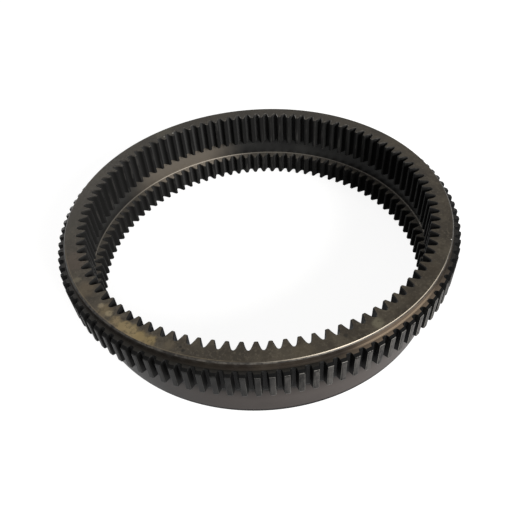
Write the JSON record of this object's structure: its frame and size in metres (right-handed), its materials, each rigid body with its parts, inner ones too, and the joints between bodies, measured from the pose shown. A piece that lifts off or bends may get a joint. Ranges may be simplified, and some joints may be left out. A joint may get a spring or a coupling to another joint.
{
  "type": "internal ring gear",
  "caption": "Internal ring gear with two toothed bands and a relief groove, an outer synchroniser cone and external dog teeth.",
  "frame": {"origin": "on the ring's axis, in the plane of the flat face that it rests on, at the small end of the cone", "axes": "+Z along the ring's axis, from the resting face up to the collar side; +X and +Y are radial, and a dog tooth is centred on -Y"},
  "size_m": [0.2716, 0.2716, 0.0565],
  "materials": {
    "ring_gear": "dark phosphated and oiled, satin"
  },
  "bodies": {
    "root": {"ring_gear": "ring_gear"}
  },
  "joints": []
}
